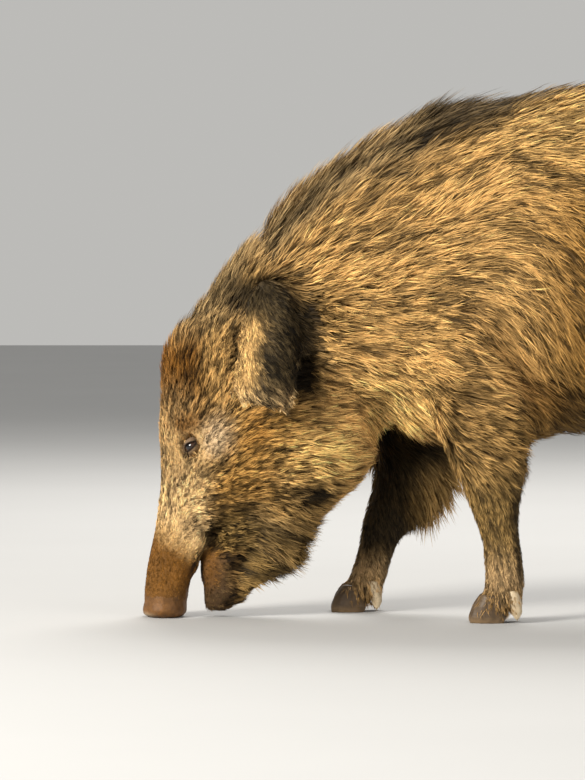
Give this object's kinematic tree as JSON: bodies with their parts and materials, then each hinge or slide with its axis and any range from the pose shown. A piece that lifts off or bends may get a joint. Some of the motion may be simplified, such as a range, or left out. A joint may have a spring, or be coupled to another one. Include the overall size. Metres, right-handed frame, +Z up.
{
  "type": "wild boar",
  "caption": "Life-size wild boar standing with its head down and its snout on the ground, in a thick bristly coat; a still figure.",
  "frame": {"origin": "on the floor, under the middle of the animal's bounding box", "axes": "+Y from head to tail, +X to the animal's left side, +Z up"},
  "size_m": [0.3432, 1.164, 0.6967],
  "materials": {
    "coat": "coarse brown bristles, grizzled with tan and black",
    "dark_coat": "coarse dark grey-brown hair",
    "snout_skin": "bare, damp, wrinkled gristle",
    "horn": "worn grey-brown horn",
    "eye": "wet dark brown eye"
  },
  "bodies": {
    "root": {"head": "coat", "neck": "coat", "trunk": "coat", "lower_jaw": "coat", "leg_fore_left": "coat", "leg_fore_right": "coat", "leg_hind_left": "coat", "leg_hind_right": "coat", "hoof_fore_left_outer": "horn", "hoof_fore_left_inner": "horn", "dewclaw_fore_left_outer": "horn", "dewclaw_fore_left_inner": "horn", "hoof_fore_right_outer": "horn", "hoof_fore_right_inner": "horn", "dewclaw_fore_right_outer": "horn", "dewclaw_fore_right_inner": "horn", "hoof_hind_left_outer": "horn", "hoof_hind_left_inner": "horn", "dewclaw_hind_left_outer": "horn", "dewclaw_hind_left_inner": "horn", "hoof_hind_right_outer": "horn", "hoof_hind_right_inner": "horn", "dewclaw_hind_right_outer": "horn", "dewclaw_hind_right_inner": "horn", "snout_disc": "snout_skin", "ear_left": "dark_coat", "eye_left": "eye", "ear_right": "dark_coat", "eye_right": "eye", "tail": "dark_coat"}
  },
  "joints": []
}
